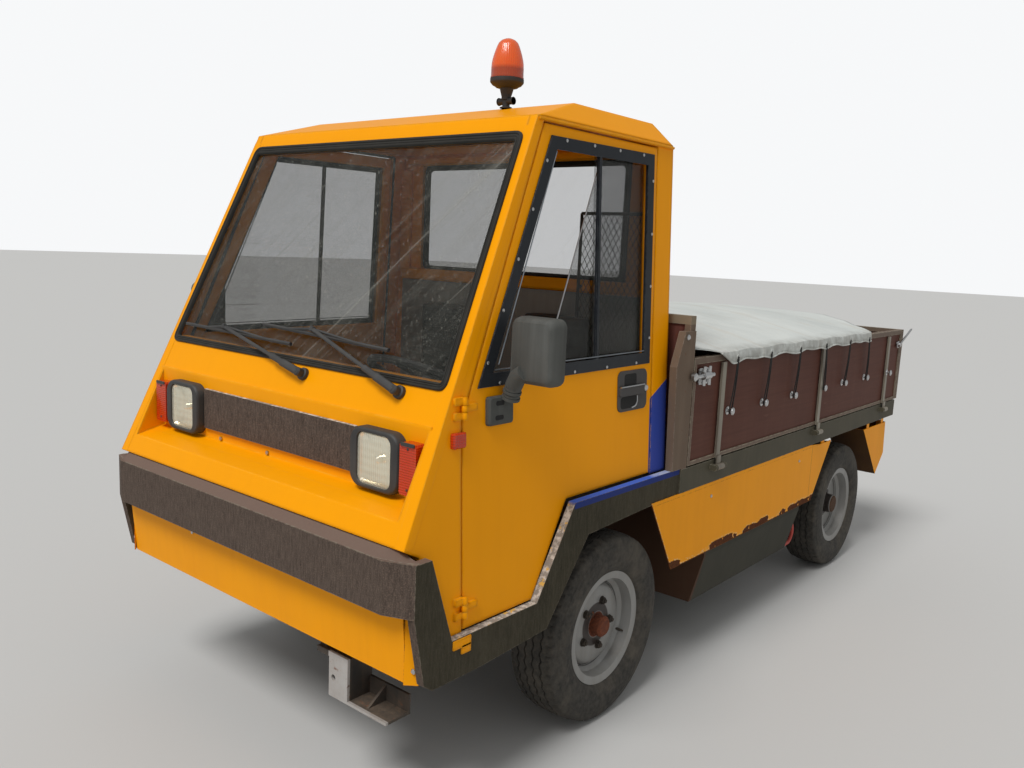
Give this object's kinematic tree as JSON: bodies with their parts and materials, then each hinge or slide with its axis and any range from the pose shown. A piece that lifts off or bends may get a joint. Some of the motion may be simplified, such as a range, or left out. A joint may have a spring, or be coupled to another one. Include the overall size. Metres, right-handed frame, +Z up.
{
  "type": "electric platform truck",
  "caption": "Small electric platform truck with a tall raked cab, steerable front wheels, opening doors, a dropside load bed under a cloth cover and a battery box between the axles.",
  "frame": {"origin": "middle of the footprint on the ground, under the platform just behind the cab", "axes": "+X to the truck's left, -Y to its front, +Z up"},
  "size_m": [1.758, 3.893, 2.243],
  "materials": {
    "cab_yellow": "semi-gloss paint, dusty",
    "cab_inner": "matt paint",
    "floor_grey": "worn matt paint",
    "chassis_black": "dull black paint, rusty",
    "axle_black": "oily black",
    "wheel_grey": "grey paint, rusty hub",
    "tyre": "worn black rubber",
    "battery_grey": "dark grey paint",
    "band_blue": "dark blue paint, faded",
    "steel_frame": "dark paint, rusty",
    "board": "red-brown film-faced ply",
    "deck_ply": "worn ply",
    "tarp_grey": "grey coated cloth",
    "glass_clear": "clear",
    "rubber_black": "black rubber",
    "trim_black": "black plastic",
    "lamp_glass": "ribbed lamp glass",
    "amber": "amber lens",
    "red_lens": "red lens",
    "seat_black": "black vinyl"
  },
  "bodies": {
    "truck": {"chassis_frame": "chassis_black", "rear_axle": "chassis_black", "front_axle": "axle_black", "battery_box": "battery_grey", "cab_front": "cab_yellow", "cab_sides": "cab_yellow", "cab_rear_wall": "cab_yellow", "cab_roof": "cab_yellow", "skirts": "cab_yellow", "cab_floor": "floor_grey", "lamp_panel": "trim_black", "dashboard": "trim_black", "wipers": "trim_black", "beacon_base": "trim_black", "cab_glass": "glass_clear", "window_seals": "rubber_black", "lamp_lenses": "lamp_glass", "indicators": "amber", "beacon_dome": "amber", "tail_lamps": "red_lens", "bumper_bands": "band_blue", "bed_rails": "steel_frame", "headboard": "steel_frame", "bed_deck": "deck_ply", "tarp": "tarp_grey", "seats": "seat_black"},
    "knuckle_left": {"knuckle_left": "axle_black"},
    "knuckle_right": {"knuckle_right": "axle_black"},
    "tie_rod": {"tie_rod": "axle_black"},
    "wheel_front_left": {"rim_front_left": "wheel_grey", "tyre_front_left": "tyre"},
    "wheel_front_right": {"rim_front_right": "wheel_grey", "tyre_front_right": "tyre"},
    "wheel_rear_left": {"rim_rear_left": "wheel_grey", "tyre_rear_left": "tyre"},
    "wheel_rear_right": {"rim_rear_right": "wheel_grey", "tyre_rear_right": "tyre"},
    "door_left": {"door_left_panel": "cab_yellow", "door_left_trim": "trim_black", "door_left_glass": "glass_clear"},
    "door_right": {"door_right_panel": "cab_yellow", "door_right_trim": "trim_black", "door_right_glass": "glass_clear"},
    "dropside_left": {"dropside_left_frame": "steel_frame", "dropside_left_board": "board"},
    "dropside_right": {"dropside_right_frame": "steel_frame", "dropside_right_board": "board"},
    "tailgate": {"tailgate_frame": "steel_frame", "tailgate_board": "board"},
    "steering_wheel": {"steering_wheel": "trim_black"}
  },
  "joints": [
    {"name": "steer_left", "type": "hinge", "parent": "truck", "child": "knuckle_left", "pos_m": [0.51, -0.9605, 0.325], "axis": [0, 0, 1], "range_deg": [-30, 30]},
    {"name": "steer_right", "type": "hinge", "parent": "truck", "child": "knuckle_right", "pos_m": [-0.51, -0.9605, 0.325], "axis": [0, 0, 1], "range_deg": [-30, 30]},
    {"name": "tie_rod_turn", "type": "hinge", "parent": "knuckle_left", "child": "tie_rod", "pos_m": [0.51, -0.8285, 0.2547], "axis": [0, 0, 1], "range_deg": [-30, 30]},
    {"name": "steering_wheel_turn", "type": "hinge", "parent": "truck", "child": "steering_wheel", "pos_m": [0.34, -1.4605, 1.165], "axis": [0, 0.4384, 0.8988], "range_deg": [-420, 420]},
    {"name": "wheel_front_left_spin", "type": "hinge", "parent": "knuckle_left", "child": "wheel_front_left", "pos_m": [0.641, -0.9605, 0.325], "axis": [1, 0, 0], "continuous": true},
    {"name": "wheel_front_right_spin", "type": "hinge", "parent": "knuckle_right", "child": "wheel_front_right", "pos_m": [-0.641, -0.9605, 0.325], "axis": [1, 0, 0], "continuous": true},
    {"name": "wheel_rear_left_spin", "type": "hinge", "parent": "truck", "child": "wheel_rear_left", "pos_m": [0.641, 1.2145, 0.325], "axis": [1, 0, 0], "continuous": true},
    {"name": "wheel_rear_right_spin", "type": "hinge", "parent": "truck", "child": "wheel_rear_right", "pos_m": [-0.641, 1.2145, 0.325], "axis": [1, 0, 0], "continuous": true},
    {"name": "door_left_hinge", "type": "hinge", "parent": "truck", "child": "door_left", "pos_m": [0.74125, -1.7075, 0.625], "axis": [0.0499, 0, -0.9988], "range_deg": [0, 75]},
    {"name": "door_right_hinge", "type": "hinge", "parent": "truck", "child": "door_right", "pos_m": [-0.74125, -1.7075, 0.625], "axis": [0.0499, 0, 0.9988], "range_deg": [0, 75]},
    {"name": "dropside_left_hinge", "type": "hinge", "parent": "truck", "child": "dropside_left", "pos_m": [0.78, 0, 0.798], "axis": [0, 1, 0], "range_deg": [0, 175]},
    {"name": "dropside_right_hinge", "type": "hinge", "parent": "truck", "child": "dropside_right", "pos_m": [-0.78, 0, 0.798], "axis": [0, -1, 0], "range_deg": [0, 175]},
    {"name": "tailgate_hinge", "type": "hinge", "parent": "truck", "child": "tailgate", "pos_m": [0, 1.9345, 0.798], "axis": [-1, 0, 0], "range_deg": [0, 175]}
  ],
  "couplings": [
    {"joint": "steer_right", "follows": "steer_left", "ratio": 1},
    {"joint": "tie_rod_turn", "follows": "steer_left", "ratio": -1},
    {"joint": "steering_wheel_turn", "follows": "steer_left", "ratio": 14}
  ]
}
